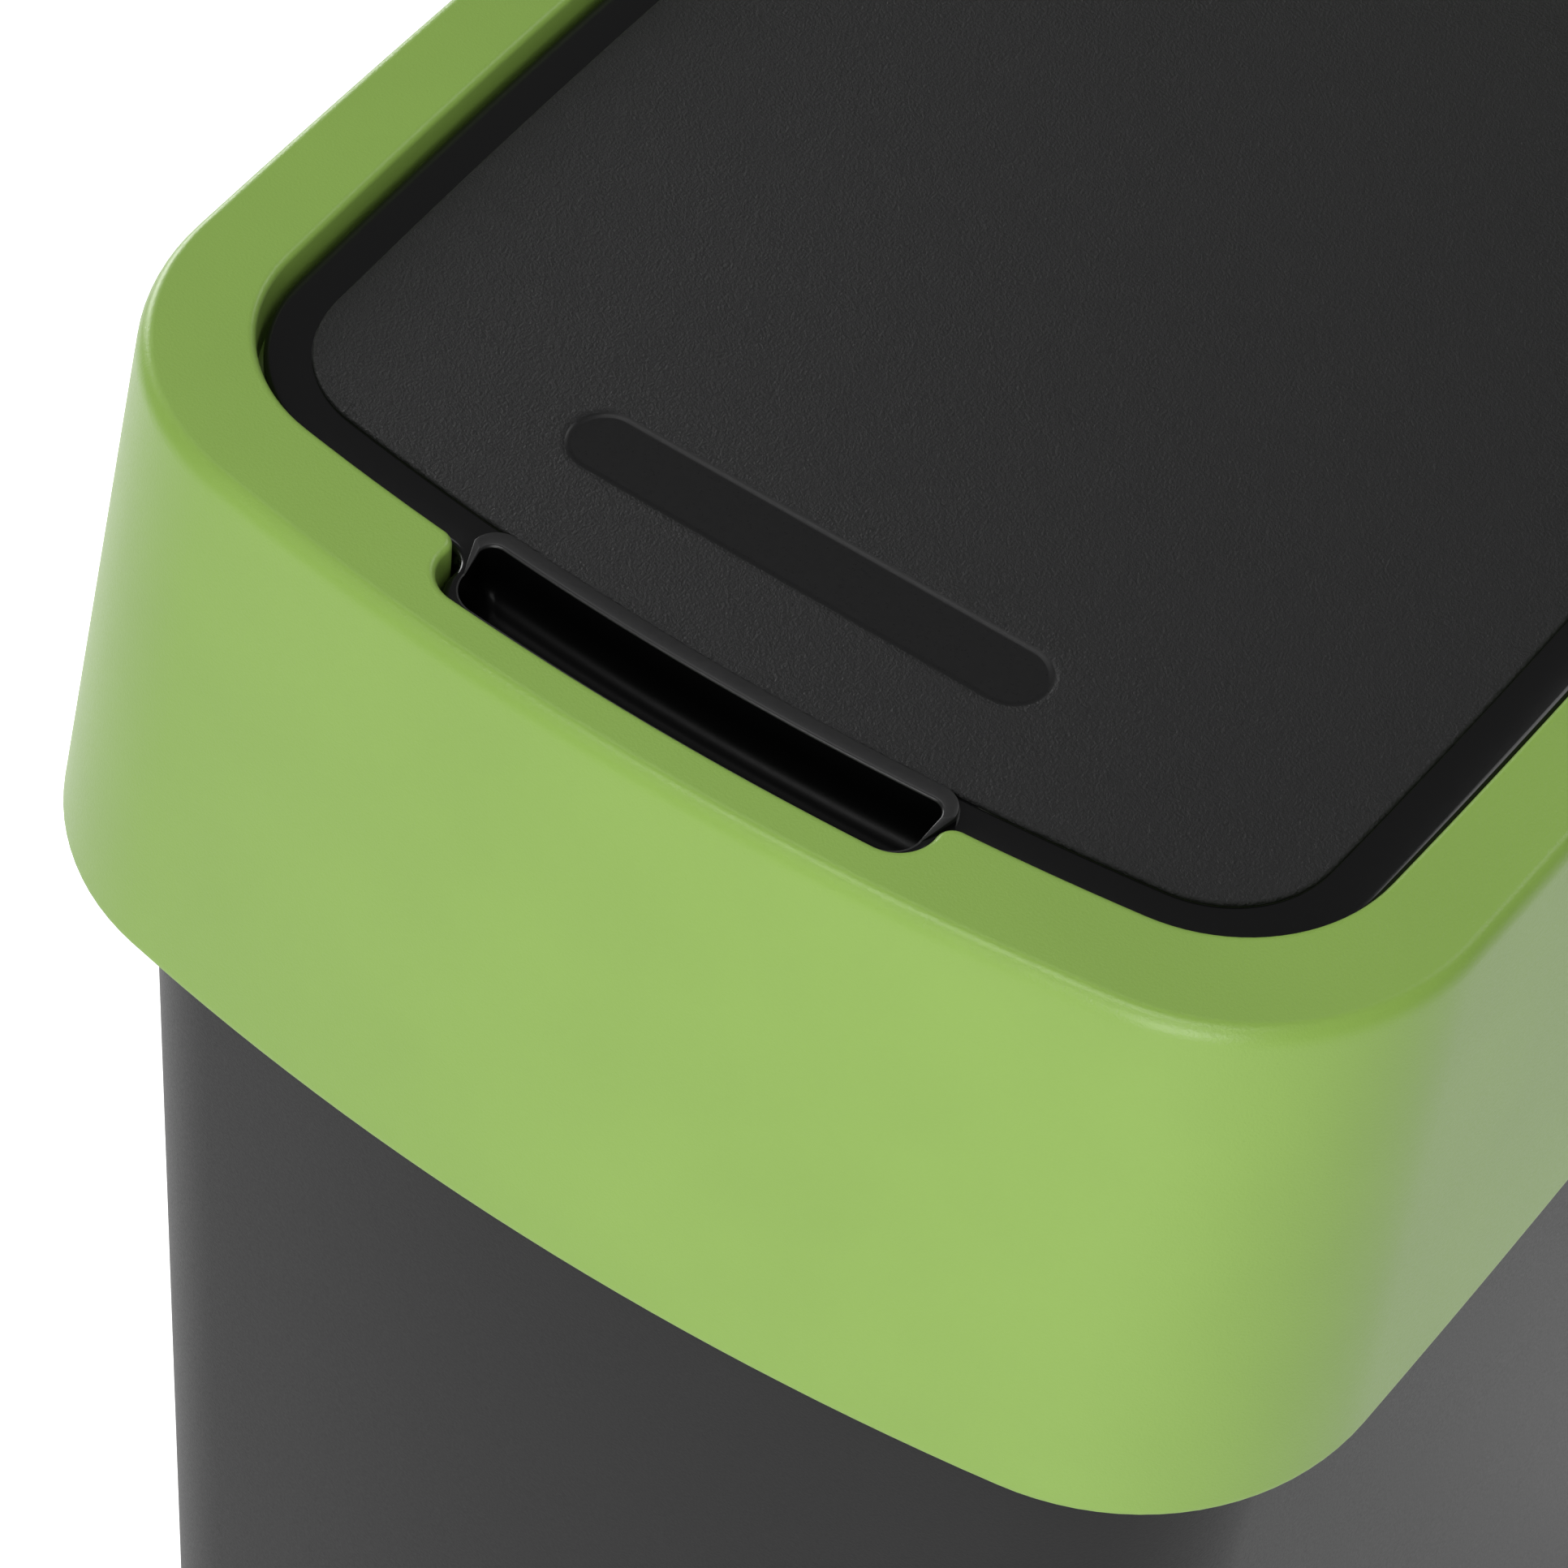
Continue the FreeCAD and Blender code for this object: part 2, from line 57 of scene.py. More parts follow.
side_bow = 4.5
bucket_side_inset = 14.7
bucket_end_inset = 12
bucket_front_bow = 16
bucket_back_bow = 6
bucket_rim_corners = (38, 36)
bucket_base_corners = (35, 33)
bucket_wall = 2.5
bucket_taper = 4.2
bucket_flange = 3.0
bucket_flange_lip = 1.8
bucket_flange_drop = 8.0
bucket_flange_thickness = 3.0
bucket_edge = 0.6
bucket_floor = 6.5
bucket_floor_radius = 6.0
bucket_base_radius = 8.0
foot_width = 8.0
foot_height = 4.0
shading_support = 1.2
loop_weld = 0.02
mesh_weld = 0.01
front_steps = 28
corner_steps = 20
side_steps = 28
rounding_steps = 8
mirror = Vector((-1, 1))


def bow_arc(half_chord, bow):
    """Radius of an arc that stands out from its chord by a bow."""
    return (half_chord**2 + bow**2) / (2 * bow)


def bowed(half, front, back, front_bow, back_bow, front_radius, back_radius):
    """An outline with bowed sides: half width, front, back, three large radii and two corner radii."""
    side_arc = bow_arc((back - front) / 2, side_bow)
    front_arc = bow_arc(half, front_bow)
    back_arc = bow_arc(half, back_bow)
    return (half, front, back, front_arc, back_arc, side_arc, front_radius, back_radius)


def grown(outline, by):
    """The parallel outline, outside another one by a distance."""
    half, front, *rest = outline
    return (half + by, front - by, *[value + by for value in rest])


def between(near, far, share):
    """The outline at a share of the way from one outline to another."""
    return tuple(a + (b - a) * share for a, b in zip(near, far))


def quarter_angles():
    """The angles of the steps round a quarter turn."""
    return [math.pi / 2 * step / rounding_steps for step in range(rounding_steps + 1)]


def rounding(near, far, height, drop, inset):
    """Outlines round an edge, from the wall to the flat, each with its distance from the flat."""
    sections = []
    for angle in quarter_angles():
        distance = drop * (1 - math.sin(angle))
        outline = between(near, far, distance / height)
        sections.append((grown(outline, -inset * (1 - math.cos(angle))), distance))
    return sections


def corner_centre(end, end_reach, side, side_reach, sign):
    """Centre of a corner arc that touches an end arc and a side arc."""
    way = side - end
    along = (end_reach**2 - side_reach**2 + way.length_squared) / (2 * way.length)
    across = math.sqrt(end_reach**2 - along**2)
    unit = way.normalized()
    normal = Vector((-unit.y, unit.x))
    picks = [end + unit * along + normal * across, end + unit * along - normal * across]
    return max(picks, key=lambda point: sign * point.y)


def bearing(point):
    """The angle of a point seen from the origin."""
    return math.atan2(point.y, point.x)


def outline_turns(outline):
    """The start of an outline and the turns round it: each a centre, an angle and its steps."""
    half, front, back, front_arc, back_arc, side_arc, front_radius, back_radius = outline
    front_mid = Vector((0, front + front_arc))
    back_mid = Vector((0, back - back_arc))
    side = Vector((half - side_arc, (front + back) / 2))
    low = corner_centre(front_mid, front_arc - front_radius, side, side_arc - front_radius, -1)
    high = corner_centre(back_mid, back_arc - back_radius, side, side_arc - back_radius, 1)
    at_front = bearing(low - front_mid)
    at_low = bearing(low - side)
    at_high = bearing(high - side)
    at_back = bearing(high - back_mid)
    right = [
        (low, at_low - at_front, corner_steps),
        (side, at_high - at_low, side_steps),
        (high, at_back - at_high, corner_steps),
    ]
    left = [(centre * mirror, turn, steps) for centre, turn, steps in reversed(right)]
    turns = [(front_mid, 2 * at_front + math.pi, front_steps), *right]
    turns += [(back_mid, math.pi - 2 * at_back, front_steps), *left]
    first = -math.pi - at_front
    start = front_mid + front_arc * Vector((math.cos(first), math.sin(first)))
    return start, turns


loop_numbers = itertools.count(1)


def number_points():
    """Number the points and edges drawn since the last call, and give the number."""
    number = next(loop_numbers)
    mesh = bmesh.from_edit_mesh(bpy.context.object.data)
    tag = mesh.verts.layers.int["loop"]
    edge_tag = mesh.edges.layers.int["loop_edge"]
    for vert in mesh.verts:
        if vert[tag] == 0:
            vert[tag] = number
            for edge in vert.link_edges:
                edge[edge_tag] = number
    return number


def new_mesh(name):
    """A new piece at the origin, with one point, left in edit mode."""
    bpy.ops.object.select_all(action="DESELECT")
    bpy.ops.mesh.primitive_plane_add(size=1, enter_editmode=True)
    bpy.ops.mesh.merge(type="CENTER")
    piece = bpy.context.object
    piece.name = name
    piece.data.name = name
    mesh = bmesh.from_edit_mesh(piece.data)
    mesh.verts.layers.int.new("loop")
    mesh.edges.layers.int.new("loop_edge")
    return piece


def draw_loop(start, turns, z):
    """Draw a closed loop and join it to the piece being edited.

    A point is spun round each centre in turn, or drawn straight along where a turn has no steps.
    """
    piece = bpy.context.object
    bpy.ops.object.mode_set(mode="OBJECT")
    new_mesh("loop")
    bpy.ops.transform.translate(value=(*start, z))
    for centre, turn, steps in turns:
        if steps:
            bpy.ops.mesh.spin(steps=steps, angle=turn, center=(*centre, z), axis=(0, 0, -1))
        else:
            bpy.ops.mesh.extrude_region_move(TRANSFORM_OT_translate={"value": (*centre, 0)})
    bpy.ops.mesh.select_all(action="SELECT")
    bpy.ops.mesh.remove_doubles(threshold=loop_weld)
    number = number_points()
    bpy.ops.object.mode_set(mode="OBJECT")
    piece.select_set(True)
    bpy.context.view_layer.objects.active = piece
    bpy.ops.object.join()
    bpy.ops.object.mode_set(mode="EDIT")
    return number


def select_loops(*numbers):
    """Select whole loops of the piece being edited, and nothing else."""
    bpy.ops.mesh.select_all(action="DESELECT")
    mesh = bmesh.from_edit_mesh(bpy.context.object.data)
    edge_tag = mesh.edges.layers.int["loop_edge"]
    for edge in mesh.edges:
        if edge[edge_tag] in numbers:
            edge.select_set(True)
    bmesh.update_edit_mesh(bpy.context.object.data)


def bridge(*numbers):
    """Join each loop to the next by a band of faces, or by a filled ring where both lie in one plane."""
    mesh = bmesh.from_edit_mesh(bpy.context.object.data)
    tag = mesh.verts.layers.int["loop"]
    heights = {}
    for vert in mesh.verts:
        heights.setdefault(vert[tag], set()).add(round(vert.co.z, 4))
    for near, far in zip(numbers, numbers[1:]):
        select_loops(near, far)
        if len(heights[near] | heights[far]) == 1:
            bpy.ops.mesh.fill(use_beauty=False)
        else:
            bpy.ops.mesh.bridge_edge_loops()


def fill(*numbers):
    """Fill the flat between an outer loop and the loops inside it."""
    select_loops(*numbers)
    bpy.ops.mesh.fill(use_beauty=True)


def loft(sections):
    """Draw outlines at their heights, join them in turn, and give the loops' numbers."""
    loops = [draw_loop(*outline_turns(outline), z) for outline, z in sections]
    bridge(*loops)
    return loops


def finish_mesh(sharp_angle):
    """Leave edit mode, in metres, with the faces turned outwards and shaded smooth up to an angle."""
    bpy.ops.mesh.select_all(action="SELECT")
    bpy.ops.mesh.remove_doubles(threshold=mesh_weld)
    bpy.ops.mesh.delete_loose(use_verts=True, use_edges=True, use_faces=False)
    bpy.ops.mesh.select_all(action="SELECT")
    bpy.ops.mesh.normals_make_consistent(inside=False)
    bpy.ops.transform.resize(value=(1 / metre, 1 / metre, 1 / metre), center_override=(0, 0, 0))
    bpy.ops.object.mode_set(mode="OBJECT")
    bpy.ops.object.shade_smooth_by_angle(angle=math.radians(sharp_angle))


bucket_rim = bowed(
    bin_half - bucket_side_inset,
    bin_front + bucket_end_inset,
    bin_back - bucket_end_inset,
    bucket_front_bow,
    bucket_back_bow,
    *bucket_rim_corners,
)
bucket_base = (*grown(bucket_rim, -bucket_taper)[:6], *bucket_base_corners)


def bucket_at(z):
    """The bucket's outside outline at a height."""
    return between(bucket_base, bucket_rim, z / bucket_top)


bucket = new_mesh("bucket")
number_points()
floor_outline = grown(bucket_at(bucket_floor), -bucket_wall)
floor_rounding_top = bucket_floor + bucket_floor_radius + shading_support
inner_top = grown(bucket_rim, -bucket_wall)
inner_height = bucket_top - bucket_floor
flange = grown(bucket_rim, bucket_flange)
flange_inside = grown(flange, -bucket_flange_lip)
flange_under = bucket_top - bucket_flange_thickness
flange_bottom = bucket_top - bucket_flange_drop
base_flat = grown(bucket_base, -bucket_base_radius)
base_rounding_top = bucket_base_radius + shading_support
foot_inside = grown(base_flat, -foot_width)
floor_rounding = rounding(floor_outline, inner_top, inner_height, bucket_floor_radius, bucket_floor_radius)
base_rounding = rounding(bucket_base, bucket_rim, bucket_top, bucket_base_radius, bucket_base_radius)
sections = [
    (grown(floor_outline, -bucket_floor_radius - shading_support), bucket_floor),
    *[(outline, bucket_floor + rise) for outline, rise in reversed(floor_rounding)],
    (grown(bucket_at(floor_rounding_top), -bucket_wall), floor_rounding_top),
    (grown(bucket_at(bucket_top - shading_support), -bucket_wall), bucket_top - shading_support),
    (inner_top, bucket_top - bucket_edge),
    (grown(inner_top, bucket_edge), bucket_top),
    (grown(flange, -bucket_edge), bucket_top),
    (flange, bucket_top - bucket_edge),
    (flange, flange_bottom + bucket_edge / 2),
    (grown(flange, -bucket_edge / 2), flange_bottom),
    (grown(flange, bucket_edge / 2 - bucket_flange_lip), flange_bottom),
    (flange_inside, flange_bottom + bucket_edge / 2),
    (flange_inside, flange_under),
    (bucket_at(flange_under), flange_under),
    (bucket_at(flange_under - shading_support), flange_under - shading_support),
    (bucket_at(base_rounding_top), base_rounding_top),
    *base_rounding,
    (grown(base_flat, -foot_width / 2), 0),
    (foot_inside, 0),
    (foot_inside, foot_height),
    (grown(foot_inside, -shading_support), foot_height),
]
loops = loft(sections)
fill(loops[0])
fill(loops[-1])
finish_mesh(sharp_angle=50)


def moulded_plastic(name, colour, roughness, grain_size, grain_depth, sheen=0.5):
    """A moulded plastic: colour with faint flow marks, and a fine grain that breaks up its gloss."""
    flow_size = grain_size * 70
    darker = [value * 0.94 for value in colour]
    lighter = [value * 1.06 for value in colour]
    material = bpy.data.materials.new(name)
    material.use_nodes = True
    nodes = material.node_tree.nodes
    links = material.node_tree.links
    shader = nodes["Principled BSDF"]
    shader.inputs["Specular IOR Level"].default_value = sheen
    place = nodes.new("ShaderNodeTexCoord")
    grain = nodes.new("ShaderNodeTexNoise")
    grain.inputs["Scale"].default_value = metre / grain_size
    grain.inputs["Detail"].default_value = 3.0
    grain.inputs["Roughness"].default_value = 0.6
    flow = nodes.new("ShaderNodeTexNoise")
    flow.inputs["Scale"].default_value = metre / flow_size
    flow.inputs["Detail"].default_value = 2.0
    shade = nodes.new("ShaderNodeMixRGB")
    shade.inputs["Color1"].default_value = (*darker, 1)
    shade.inputs["Color2"].default_value = (*lighter, 1)
    gloss = nodes.new("ShaderNodeMapRange")
    gloss.inputs["From Min"].default_value = 0.3
    gloss.inputs["From Max"].default_value = 0.7
    gloss.inputs["To Min"].default_value = roughness * 0.9
    gloss.inputs["To Max"].default_value = roughness * 1.12
    bump = nodes.new("ShaderNodeBump")
    bump.inputs["Strength"].default_value = 1.0
    bump.inputs["Distance"].default_value = grain_depth / metre
    links.new(place.outputs["Object"], grain.inputs["Vector"])
    links.new(place.outputs["Object"], flow.inputs["Vector"])
    links.new(flow.outputs["Fac"], shade.inputs["Fac"])
    links.new(shade.outputs["Color"], shader.inputs["Base Color"])
    links.new(grain.outputs["Fac"], gloss.inputs["Value"])
    links.new(gloss.outputs["Result"], shader.inputs["Roughness"])
    links.new(grain.outputs["Fac"], bump.inputs["Height"])
    links.new(bump.outputs["Normal"], shader.inputs["Normal"])
    return material


bucket_grey = (0.013, 0.013, 0.0133)
grey_satin = moulded_plastic(
    "grey_satin", bucket_grey, roughness=0.42, grain_size=0.5, grain_depth=0.03, sheen=0.13
)
bucket.data.materials.append(grey_satin)
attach(bucket, "bin")
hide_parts("bin_body")


# The collar: a flared frame moulded in green polypropylene, dropped over the bucket's rim.
# Its rim has a soft outer edge, and its opening has a finger notch and a turned-down lip.
# Ribs inside stand it on the bucket, a ledge carries the lid, and two cheeks hold the hinge pins.
collar_bottom = collar_low[2]
collar_height = bin_top - collar_bottom
skirt_front_bow = 17
skirt_back_bow = 8
skirt_corners = (48.5, 46.5)
skirt_wall = 2.6
skirt_edge = 0.5
skirt_edge_share = 0.3
side_flare = 6.6
front_flare = 17.6
back_flare = 13.0
soft_drop = 3.6
soft_inset = 2.3
rim_thickness = 3.0
rim_corners = (45, 43)
rim_side_width = 16.4
rim_front_width = 18.8
rim_back_width = 24.0
opening_front_bow = 11
opening_back_bow = 4
opening_corners = (30.2, 26)
opening_edge = 1.3
notch_half = 45.9
notch_depth = 9.9
notch_corner = 6.9
notch_front_wall = 1.6
flat_support = 0.15
lip_wall = 2.2
lip_bottom = bin_top - 13.1
lip_corner = 6.0
notch_steps = 16
notch_corner_steps = 14
notch_tip_steps = 8
front_part_steps = 12

skirt = bowed(bin_half, bin_front, bin_back, skirt_front_bow, skirt_back_bow, *skirt_corners)
rim_arcs = grown(skirt, -side_flare)[3:6]
rim = (bin_half - side_flare, bin_front + front_flare, bin_back - back_flare, *rim_arcs, *rim_corners)
rim_half, rim_front, rim_back = rim[:3]
opening = bowed(
    rim_half - rim_side_width,
    rim_front + rim_front_width,
    rim_back - rim_back_width,
    opening_front_bow,
    opening_back_bow,
    *opening_corners,
)
opening_front = opening[1]
opening_arc = opening[3]


def collar_at(z):
    """The collar's outside outline at a height."""
    return between(skirt, rim, (z - collar_bottom) / collar_height)


def mouth_turns(by, depth=notch_depth, half=notch_half, corner=notch_corner):
    """Start and turns of the opening with its finger notch, outside the real one by a distance."""
    start, turns = outline_turns(grown(opening, by))
    middle, whole_turn, _ = turns[0]
    reach = opening_arc + depth - corner
    at_corner = math.asin((half - corner) / reach)
    spread = (2 * reach**2 - depth**2) / (2 * reach**2)
    at_tip = at_corner + math.acos(spread)
    corner_at = middle + reach * Vector((math.sin(-at_corner), -math.cos(at_corner)))
    tip_at = middle + reach * Vector((math.sin(-at_tip), -math.cos(at_tip)))
    full = 2 * math.pi
    tip_turn = (bearing(corner_at - tip_at) - (math.pi / 2 - at_tip)) % full - full
    corner_turn = (-math.pi / 2 - at_corner - bearing(tip_at - corner_at)) % full
    front = [
        (middle, whole_turn / 2 - at_tip, front_part_steps),
        (tip_at, tip_turn, notch_tip_steps),
        (corner_at, corner_turn, notch_corner_steps),
        (middle, 2 * at_corner, notch_steps),
        (corner_at * mirror, corner_turn, notch_corner_steps),
        (tip_at * mirror, tip_turn, notch_tip_steps),
        (middle, whole_turn / 2 - at_tip, front_part_steps),
    ]
    return start, front + turns[1:]


collar = new_mesh("collar_frame")
number_points()
under_rim = bin_top - rim_thickness
soft_bottom = bin_top - soft_drop - shading_support
edge_rise = skirt_edge * skirt_edge_share
soft_edge = rounding(rim, skirt, collar_height, soft_drop, soft_inset)
skirt_loops = loft([
    (grown(collar_at(under_rim), -skirt_wall - shading_support), under_rim),
    (grown(collar_at(under_rim), -skirt_wall), under_rim),
    (grown(collar_at(under_rim - shading_support), -skirt_wall), under_rim - shading_support),
    (grown(skirt, -skirt_wall), collar_bottom + skirt_edge),
    (grown(skirt, skirt_edge - skirt_wall), collar_bottom),
    (grown(skirt, -skirt_edge), collar_bottom),
    (grown(skirt, -edge_rise), collar_bottom + edge_rise),
    (collar_at(collar_bottom + skirt_edge), collar_bottom + skirt_edge),
    (collar_at(collar_bottom + shading_support), collar_bottom + shading_support),
    (collar_at(soft_bottom), soft_bottom),
    *[(outline, bin_top - drop) for outline, drop in soft_edge],
    (grown(rim, -soft_inset - flat_support), bin_top),
])
mouth_sections = [(opening_edge + flat_support, bin_top)]
for angle in quarter_angles():
    edge_drop = opening_edge * (1 - math.cos(angle))
    mouth_sections.append((opening_edge * (1 - math.sin(angle)), bin_top - edge_drop))
mouth_sections += [
    (0, bin_top - opening_edge - flat_support),
    (0, lip_bottom + skirt_edge),
    (skirt_edge, lip_bottom),
    (lip_wall - skirt_edge, lip_bottom),
]
mouth_loops = [draw_loop(*mouth_turns(by), z) for by, z in mouth_sections]
lip_depth = notch_depth + notch_front_wall - lip_wall
lip_turns = mouth_turns(lip_wall, lip_depth, notch_half + lip_wall, lip_corner)
lip_outside = draw_loop(*lip_turns, lip_bottom + skirt_edge)
lip_top = draw_loop(*lip_turns, under_rim)
bridge(*mouth_loops, lip_outside, lip_top)
fill(skirt_loops[-1], mouth_loops[0])
fill(skirt_loops[0], lip_top)


def side_x(outline, y):
    """Half the width of an outline at a distance behind the middle."""
    half, front, back, _, _, side_arc, _, _ = outline
    return half - side_arc + math.sqrt(side_arc**2 - (y - (front + back) / 2) ** 2)


def front_y(outline, x):
    """The front of an outline at a distance from the middle."""
    return outline[1] + outline[3] - math.sqrt(outline[3] ** 2 - x**2)


def back_y(outline, x):
    """The back of an outline at a distance from the middle."""
    return outline[2] - outline[4] + math.sqrt(outline[4] ** 2 - x**2)


def select_new_points():
    """Select the points that have no number yet, with what joins them."""
    mesh = bmesh.from_edit_mesh(bpy.context.object.data)
    tag = mesh.verts.layers.int["loop"]
    for vert in mesh.verts:
        vert.select_set(vert[tag] == 0)
    mesh.select_flush(True)


def draw_plate(points, thickness):
    """Draw a flat plate from its corners by extruding a point round them, then the face."""
    bpy.ops.mesh.primitive_plane_add(size=1, location=points[0])
    bpy.ops.mesh.merge(type="CENTER")
    for near, far in zip(points, points[1:]):
        move = Vector(far) - Vector(near)
        bpy.ops.mesh.extrude_region_move(TRANSFORM_OT_translate={"value": move})
    select_new_points()
    bpy.ops.mesh.edge_face_add()
    bpy.ops.mesh.extrude_region_move(TRANSFORM_OT_translate={"value": thickness})
    number_points()


rib_thickness = 2.0
rib_tongue = 12.0
rib_places = (-63, -21, 21, 63)
seat_gap = 0.3
tongue_gap = 0.8
rib_foot = bucket_top + seat_gap
tongue_end = rib_foot - rib_tongue
rib_top = bin_top - rim_thickness / 2
bucket_inside = grown(bucket_rim, -bucket_wall - tongue_gap)
lip_outline = grown(opening, lip_wall)
notch_outline = grown(opening, notch_depth + notch_front_wall)
skirt_top_inside = grown(collar_at(rib_top), -skirt_wall / 2)
skirt_foot_inside = grown(collar_at(rib_foot), -skirt_wall / 2)
for rib_place in rib_places:
    front_lip = notch_outline if abs(rib_place) < notch_half else lip_outline
    for wall_at, lip, sign, sideways in (
        (side_x, lip_outline, 1, True),
        (side_x, lip_outline, -1, True),
        (front_y, front_lip, 1, False),
        (back_y, lip_outline, 1, False),
    ):
        profile = [
            (wall_at(lip, rib_place), rib_top),
            (wall_at(skirt_top_inside, rib_place), rib_top),
            (wall_at(skirt_foot_inside, rib_place), rib_foot),
            (wall_at(bucket_inside, rib_place), rib_foot),
            (wall_at(bucket_inside, rib_place), tongue_end),
            (wall_at(lip, rib_place), tongue_end),
        ]
        near_face = rib_place - rib_thickness / 2
        if sideways:
            draw_plate([(sign * reach, near_face, z) for reach, z in profile], (0, rib_thickness, 0))
        else:
            draw_plate([(near_face, reach, z) for reach, z in profile], (rib_thickness, 0, 0))

hinge_y = 99.0
hinge_z = bin_top - 10.6
ledge_width = 4.0
ledge_top = bin_top - 10.9
ledge_start_gap = 4
ledge_hinge_gap = 16
ledge_start_x = notch_half + ledge_start_gap
ledge_end_y = hinge_y - ledge_hinge_gap
ledge_section = [
    (lip_wall / 2, lip_bottom),
    (-ledge_width, lip_bottom),
    (-ledge_width, ledge_top),
    (lip_wall / 2, ledge_top),
]
for sign in (1, -1):
    chains = []
    for by, z in ledge_section:
        outline = grown(opening, by)
        _, turns = outline_turns(outline)
        front_middle, whole_turn, _ = turns[0]
        first = math.asin(ledge_start_x / outline[3])
        start = front_middle + outline[3] * Vector((sign * math.sin(first), -math.cos(first)))
        low, low_turn, _ = turns[1]
        side, _, _ = turns[2]
        at_low = bearing(low - side)
        last = math.asin((ledge_end_y - side.y) / outline[5])
        flip = Vector((sign, 1))
        path = [
            (front_middle, sign * (whole_turn / 2 - first), front_part_steps),
            (low * flip, sign * low_turn, corner_steps),
            (side * flip, sign * (last - at_low), side_steps),
        ]
        chains.append(draw_loop(start, path, z))
    for near, far in zip(chains, chains[1:] + chains[:1]):
        select_loops(near, far)
        bpy.ops.mesh.bridge_edge_loops()
    mesh = bmesh.from_edit_mesh(collar.data)
    tag = mesh.verts.layers.int["loop"]
    for face in mesh.faces:
        face.select_set(False)
    for vert in mesh.verts:
        vert.select_set(vert[tag] in chains)
    mesh.select_flush(True)
    bpy.ops.mesh.fill_holes(sides=len(ledge_section))

pin_radius = 2.5
pin_clearance = 0.02
cheek_thickness = 4.0
cheek_radius = 8.0
cheek_set_back = 1
eye_gap = 0.1
eye_steps = 72
stop_radius = 3.0
stop_length = 9.0
stop_margin = 2
stop_steps = 48
stop_y = 92.3
stop_z = 440.3
hinge_x = side_x(opening, hinge_y)
cheek_low_y = stop_y - stop_radius - stop_margin
cheek_high_y = hinge_y + cheek_radius - cheek_set_back
cheek_bottom = stop_z - stop_radius - stop_margin
cheek_parts = [
    (cheek_low_y, cheek_bottom, hinge_z - pin_radius - eye_gap),
    (hinge_y - cheek_radius, hinge_z + pin_radius + eye_gap, rib_top),
]


def draw_eye(x, thickness, bore, radius):
    """Draw a ring round the hinge axis by spinning its section, and tag it as drawn."""
    middle = (x, hinge_y, hinge_z + (bore + radius) / 2)
    bpy.ops.mesh.primitive_plane_add(size=1, location=middle, rotation=(math.pi / 2, 0, 0))
    bpy.ops.transform.resize(value=(thickness, 1, radius - bore), center_override=middle)
    bpy.ops.mesh.delete(type="ONLY_FACE")
    select_new_points()
    bpy.ops.mesh.spin(steps=eye_steps, angle=2 * math.pi, center=(x, hinge_y, hinge_z), axis=(1, 0, 0))
    select_new_points()
    bpy.ops.mesh.remove_doubles(threshold=mesh_weld)
    number_points()


def draw_block(low, high):
    """Draw a plain block between two corners."""
    middle = (Vector(low) + Vector(high)) / 2
    size = Vector(high) - Vector(low)
    bpy.ops.mesh.primitive_cube_add(size=1, location=middle, scale=[abs(value) for value in size])
    number_points()


for sign in (1, -1):
    for low_y, low_z, high_z in cheek_parts:
        near = side_x(opening, low_y)
        far = side_x(opening, cheek_high_y)
        corners = [
            (sign * near, low_y, low_z),
            (sign * (near + cheek_thickness), low_y, low_z),
            (sign * (far + cheek_thickness), cheek_high_y, low_z),
            (sign * far, cheek_high_y, low_z),
        ]
        draw_plate(corners, (0, 0, high_z - low_z))
    eye_x = sign * (hinge_x + cheek_thickness / 2)
    draw_eye(eye_x, cheek_thickness, pin_radius + pin_clearance, cheek_radius)
    stop_x = sign * (hinge_x - stop_length / 2 + cheek_thickness / 4)
    bpy.ops.mesh.primitive_cylinder_add(
        vertices=stop_steps,
        radius=stop_radius,
        depth=stop_length + cheek_thickness / 2,
        location=(stop_x, stop_y, stop_z),
        rotation=(0, math.pi / 2, 0),
    )
    number_points()
finish_mesh(sharp_angle=50)
collar_green = (0.272, 0.448, 0.082)
green_satin = moulded_plastic("green_satin", collar_green, roughness=0.34, grain_size=0.5, grain_depth=0.06)
collar.data.materials.append(green_satin)
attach(collar, "collar")
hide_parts("collar")


# The lid: a plate moulded in black polypropylene that lies in the opening and turns on two pins.
# It has a grained panel in a glossy border, a sunk pad, a finger scoop and a bead behind the scoop.
# Scoop and bead are bands: a reach before and behind the opening's front arc, two half widths, two radii.
lid_gap = 1.2
lid_top = bin_top - 4.6
lid_bottom = lid_top - 6.0
lid_ceiling = lid_top - 2.2
lid_bevel = 0.3
lid_roll = 1.2
lid_roll_support = 0.5
lid_skirt_wall = 2.0
panel_inset = 9.4
panel_front = 8.55
panel_rise = 0.8
panel_edge = 0.6
panel_foot_inset = 0.05
panel_foot_rise = 0.06
panel_wall_inset = 0.08
pad_half_length = 46.5
pad_half_width = 7.8
pad_depth = 0.4
pad_slope = 2.0
pad_steps = 10
pad_end_steps = 32
pad_shift = -3.5
pad_set_back = 36
pad_middle = Vector((pad_shift, opening_front + pad_set_back))
scoop_band = (7.0, 5.0, 42.9, 43.3, 5.6, 2.6)
scoop_depth = 9.5
scoop_radius = 5.0
scoop_wall = 1.2
scoop_brow = 0.6
bead_band = (7.3, 8.4, 43.2, 45.4, 5.9, 4.6)
bead_rise = 1.9
bead_fade_start = -2.6
bead_fade_length = 5.0
bead_rear_share = 0.16
bead_front_share = 0.2
bead_front_rise_share = 0.9
bead_front_drop_share = 0.25
band_steps = 56
band_corner_steps = 14
least_corner = 1.0
under_front = 8.2
front_centre = Vector((0, opening_front + opening_arc))


def eased(share):
    """A share that starts and ends gently."""
    return share * share * (3 - 2 * share)


